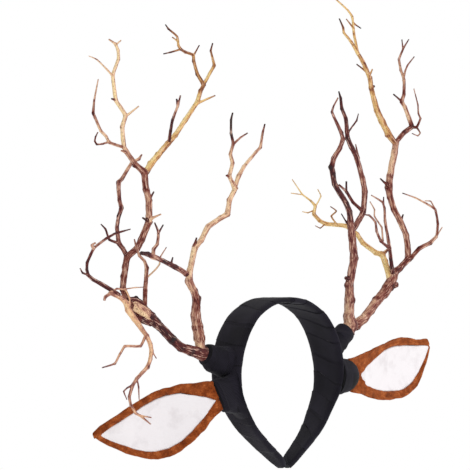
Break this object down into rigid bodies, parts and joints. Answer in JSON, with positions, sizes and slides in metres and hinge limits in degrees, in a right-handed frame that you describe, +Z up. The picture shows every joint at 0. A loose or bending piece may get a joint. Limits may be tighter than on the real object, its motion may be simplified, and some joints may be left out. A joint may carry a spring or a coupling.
{
  "type": "reindeer antler headband",
  "caption": "Ribbon-wound headband with antlers of glued natural twigs in wound sleeves and cupped suede deer ears lined with white felt",
  "frame": {"origin": "inside of the band at its crown, where it sits on the head", "axes": "+Z up, +X to the wearer's left, +Y to the back of the head; the hollow of each ear faces the front"},
  "size_m": [0.4727, 0.1124, 0.4754],
  "materials": {
    "ribbon": "black woven ribbon wound in overlapping turns",
    "suede": "brushed rust-brown suede cloth",
    "felt": "white felt",
    "bark": "dark maroon bark with pale scuffs",
    "russet_bark": "reddish brown bark with pale streaks",
    "stripped_wood": "golden twig stripped of its bark",
    "pale_bark": "pale tan bark"
  },
  "bodies": {
    "root": {"band": "ribbon", "left_sleeve": "ribbon", "right_sleeve": "ribbon", "left_ear_stem": "ribbon", "right_ear_stem": "ribbon", "left_ear_shell": "suede", "right_ear_shell": "suede", "left_ear_lining": "felt", "right_ear_lining": "felt", "left_beam": "bark", "left_tine": "russet_bark", "left_tine_fork": "russet_bark", "left_side_branch": "bark", "left_crown": "russet_bark", "left_crown_spray": "russet_bark", "left_crown_fork": "stripped_wood", "left_crown_tip": "stripped_wood", "left_dark_twig": "bark", "left_upright": "bark", "left_sprig": "russet_bark", "left_droop": "pale_bark", "left_zigzag": "pale_bark", "left_curl": "bark", "left_curl_top": "bark", "right_trunk": "bark", "right_trunk_fork": "bark", "right_beam": "russet_bark", "right_golden": "stripped_wood", "right_fan": "russet_bark", "right_hook": "russet_bark", "right_hook_top": "russet_bark", "right_yellow": "stripped_wood", "right_sprig": "bark"}
  },
  "joints": []
}
